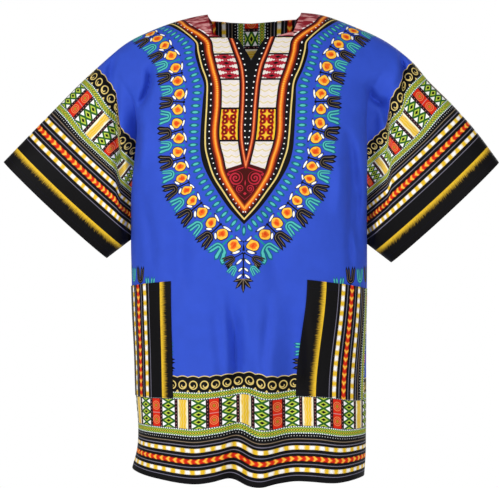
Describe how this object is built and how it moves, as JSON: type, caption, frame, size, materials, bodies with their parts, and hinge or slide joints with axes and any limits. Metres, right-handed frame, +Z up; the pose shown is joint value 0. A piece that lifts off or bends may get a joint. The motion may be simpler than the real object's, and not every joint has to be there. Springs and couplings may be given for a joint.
{
  "type": "dashiki shirt",
  "caption": "Hollow kimono-cut dashiki shirt in blue printed cotton, with wide short sleeves, a notched neck, a printed yoke, borders at cuffs and hem, and side pockets",
  "frame": {"origin": "the point between the shoulders, at the neck, where the wearer holds the shirt up", "axes": "+X to the viewer's right, which is the wearer's left; the front faces -Y; +Z up"},
  "size_m": [0.9105, 0.2635, 0.8531],
  "materials": {
    "printed_cotton": "plain-weave cotton, blue wax-style print, soft and nearly matt",
    "border_cotton": "the same cotton, cut from the printed border",
    "sewing_thread": "polyester sewing thread"
  },
  "bodies": {
    "root": {"front": "printed_cotton", "back": "printed_cotton", "neck_facing": "border_cotton", "pocket_left": "border_cotton", "pocket_right": "border_cotton"}
  },
  "joints": []
}
